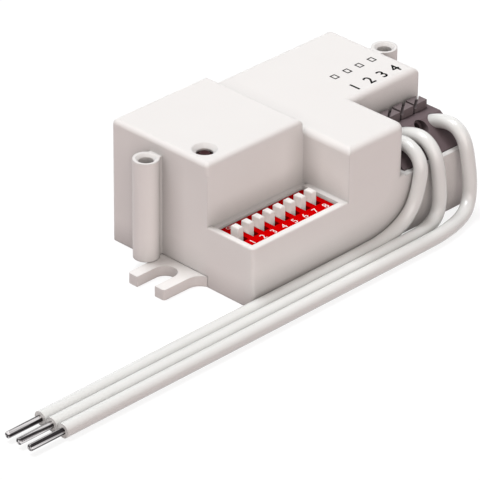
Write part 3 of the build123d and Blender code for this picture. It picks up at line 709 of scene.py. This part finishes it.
@dataclass
class Studio:
    """The floor, the light and the camera."""

    camera_place: tuple[float, float, float] = (-0.44203, -0.42001, 0.34333)
    azimuth: float = 45.61
    elevation: float = 29.69
    roll: float = 0.52
    lens: float = 298.46
    sensor: float = 36.0
    near: float = 0.01
    far: float = 10.0
    world_level: float = 0.17
    world_colour: tuple[float, float, float] = (1.0, 0.95, 0.96)
    lamps: tuple[Lamp, ...] = (
        Lamp("top_lamp", 1.70, 20.0, (-16.0, 0.0, 0.0), (0.95, 0.985, 1.0)),
        Lamp("key_lamp", 0.55, 24.0, (-24.0, -24.0, 0.0), (1.0, 0.98, 0.95)),
        Lamp("fill_lamp", 1.18, 50.0, (46.0, -40.0, 0.0), (1.0, 0.91, 0.86)),
    )
    floor_colour: tuple[float, float, float] = (0.52, 0.44, 0.44)
    floor_roughness: float = 0.9
    floor_half: float = 3.0
    floor_height: float = -0.00005
    floor_glow: float = 0.84
    floor_shadow: float = 0.20

    def set_up(self) -> None:
        """Build the whole studio."""
        self.camera()
        self.light()
        self.floor()
        bpy.context.scene.view_settings.view_transform = "Standard"

    def camera(self) -> None:
        """Put the camera where the photograph was taken from, by its view direction and roll."""
        turn, lift, roll = (math.radians(a) for a in (self.azimuth, self.elevation, self.roll))
        ahead = Vector((math.sin(turn) * math.cos(lift), math.cos(turn) * math.cos(lift), -math.sin(lift)))
        right = ahead.cross(Vector((0.0, 0.0, 1.0))).normalized()
        up = right.cross(ahead)
        across = math.cos(roll) * right + math.sin(roll) * up
        upward = -math.sin(roll) * right + math.cos(roll) * up
        data = bpy.data.cameras.new("photo_camera")
        data.lens = self.lens
        data.sensor_width = self.sensor
        data.clip_start = self.near
        data.clip_end = self.far
        made = bpy.data.objects.new("photo_camera", data)
        basis = Matrix((across, upward, -ahead)).transposed()
        made.matrix_world = Matrix.Translation(self.camera_place) @ basis.to_4x4()
        bpy.context.scene.collection.objects.link(made)
        bpy.context.scene.camera = made

    @staticmethod
    def seen_rays(tree: bpy.types.ShaderNodeTree) -> bpy.types.NodeSocket:
        """Return a mask that is 1 for rays that show the surround: from the camera, in gloss or through glass.

        Args:
            tree: the material's or world's own node tree.

        Returns:
            The output socket: the sum of the three ray masks, held to 1.
        """
        path = tree.nodes.new("ShaderNodeLightPath")
        first = tree.nodes.new("ShaderNodeMath")
        second = tree.nodes.new("ShaderNodeMath")
        first.use_clamp = second.use_clamp = True
        tree.links.new(path.outputs["Is Camera Ray"], first.inputs[0])
        tree.links.new(path.outputs["Is Glossy Ray"], first.inputs[1])
        tree.links.new(first.outputs[0], second.inputs[0])
        tree.links.new(path.outputs["Is Transmission Ray"], second.inputs[1])
        return second.outputs[0]

    def light(self) -> None:
        """Make a weak even surround and hang the lamps; seen directly or in gloss, the surround is white."""
        world = bpy.data.worlds.new("studio_world")
        bpy.context.scene.world = world
        world.use_nodes = True
        nodes, links = world.node_tree.nodes, world.node_tree.links
        glow = nodes["Background"]
        glow.inputs["Color"].default_value = (*self.world_colour, 1.0)
        glow.inputs["Strength"].default_value = self.world_level
        white = nodes.new("ShaderNodeBackground")
        white.inputs["Color"].default_value = (1.0, 1.0, 1.0, 1.0)
        mix = nodes.new("ShaderNodeMixShader")
        links.new(self.seen_rays(world.node_tree), mix.inputs["Fac"])
        links.new(glow.outputs[0], mix.inputs[1])
        links.new(white.outputs[0], mix.inputs[2])
        links.new(mix.outputs[0], nodes["World Output"].inputs["Surface"])
        for lamp in self.lamps:
            lamp.hang()

    def floor(self) -> None:
        """Lay a pale floor that looks white, with a share of the object's shadow, just below the underside."""
        half, low = self.floor_half, self.floor_height
        corners = [(-half, -half, low), (half, -half, low), (half, half, low), (-half, half, low)]
        mesh = bpy.data.meshes.new("studio_floor")
        mesh.from_pydata(corners, [], [(0, 1, 2, 3)])
        made = bpy.data.objects.new("studio_floor", mesh)
        bpy.context.scene.collection.objects.link(made)
        paint = bpy.data.materials.new("studio_floor")
        paint.use_nodes = True
        nodes, links = paint.node_tree.nodes, paint.node_tree.links
        surface = nodes["Principled BSDF"]
        surface.inputs["Base Color"].default_value = (*self.floor_colour, 1.0)
        surface.inputs["Roughness"].default_value = self.floor_roughness
        white = nodes.new("ShaderNodeEmission")
        white.inputs["Strength"].default_value = self.floor_glow
        shaded = nodes.new("ShaderNodeBsdfDiffuse")
        shaded.inputs["Color"].default_value = (self.floor_shadow, self.floor_shadow, self.floor_shadow, 1.0)
        seen = nodes.new("ShaderNodeAddShader")
        links.new(white.outputs[0], seen.inputs[0])
        links.new(shaded.outputs[0], seen.inputs[1])
        mix = nodes.new("ShaderNodeMixShader")
        links.new(self.seen_rays(paint.node_tree), mix.inputs["Fac"])
        links.new(surface.outputs[0], mix.inputs[1])
        links.new(seen.outputs[0], mix.inputs[2])
        links.new(mix.outputs[0], nodes["Material Output"].inputs["Surface"])
        made.data.materials.append(paint)


def main() -> None:
    """Build the sensor's looks in order and report each sub-assembly."""
    logging.basicConfig(level=logging.INFO, format="%(name)s: %(message)s")
    Studio().set_up()
    for part in (Housing(), SwitchBank(), Terminal(), WireSet(), Electronics()):
        part.dress()


if __name__ == "__main__":
    main()
